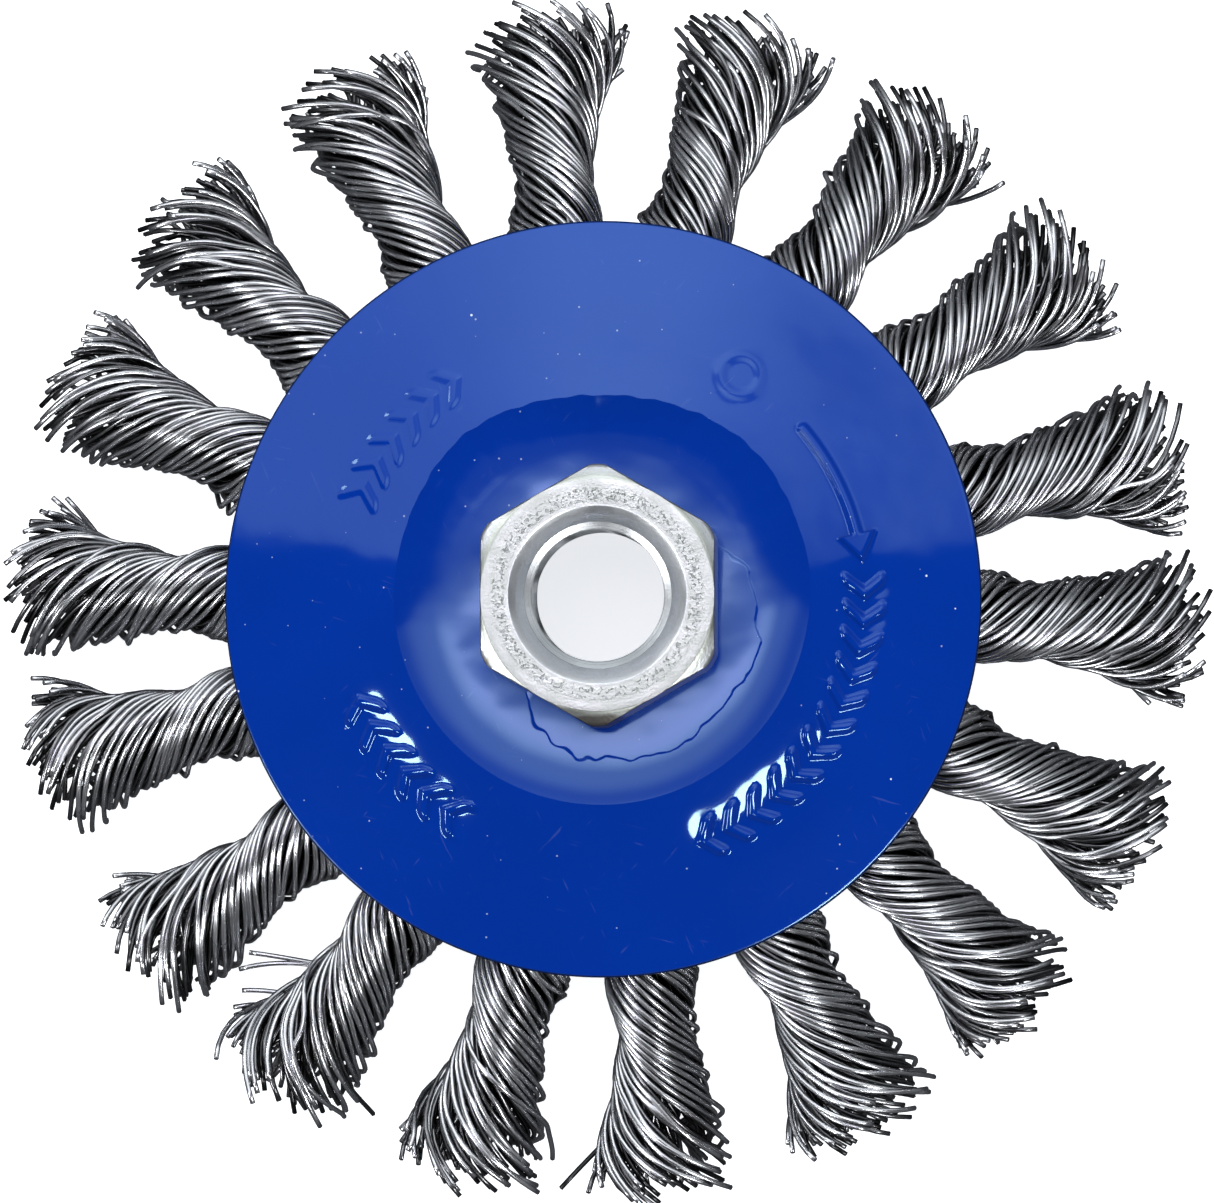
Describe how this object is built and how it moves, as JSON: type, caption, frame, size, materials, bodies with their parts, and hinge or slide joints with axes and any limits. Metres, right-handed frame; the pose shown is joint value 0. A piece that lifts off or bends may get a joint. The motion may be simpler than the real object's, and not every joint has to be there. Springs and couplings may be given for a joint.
{
  "type": "wire wheel brush",
  "caption": "Bevel wire brush for an angle grinder: twisted steel wire knots between pressed plates, on a threaded hex nut.",
  "frame": {"origin": "on the spindle axis, level with the wire tips that the brush stands on", "axes": "+Z along the spindle axis, from the wire tips towards the hex nut; two corners of the hexagon point along Y"},
  "size_m": [0.1148, 0.1145, 0.037],
  "materials": {
    "blue_paint": "gloss",
    "zinc": "satin",
    "plain_steel": "satin",
    "wire": "satin"
  },
  "bodies": {
    "root": {"hex_nut": "zinc", "cover_plate": "blue_paint", "carrier_disc": "plain_steel", "back_plate": "blue_paint", "knot_01": "wire", "knot_02": "wire", "knot_03": "wire", "knot_04": "wire", "knot_05": "wire", "knot_06": "wire", "knot_07": "wire", "knot_08": "wire", "knot_09": "wire", "knot_10": "wire", "knot_11": "wire", "knot_12": "wire", "knot_13": "wire", "knot_14": "wire", "knot_15": "wire", "knot_16": "wire", "knot_17": "wire", "knot_18": "wire"}
  },
  "joints": []
}
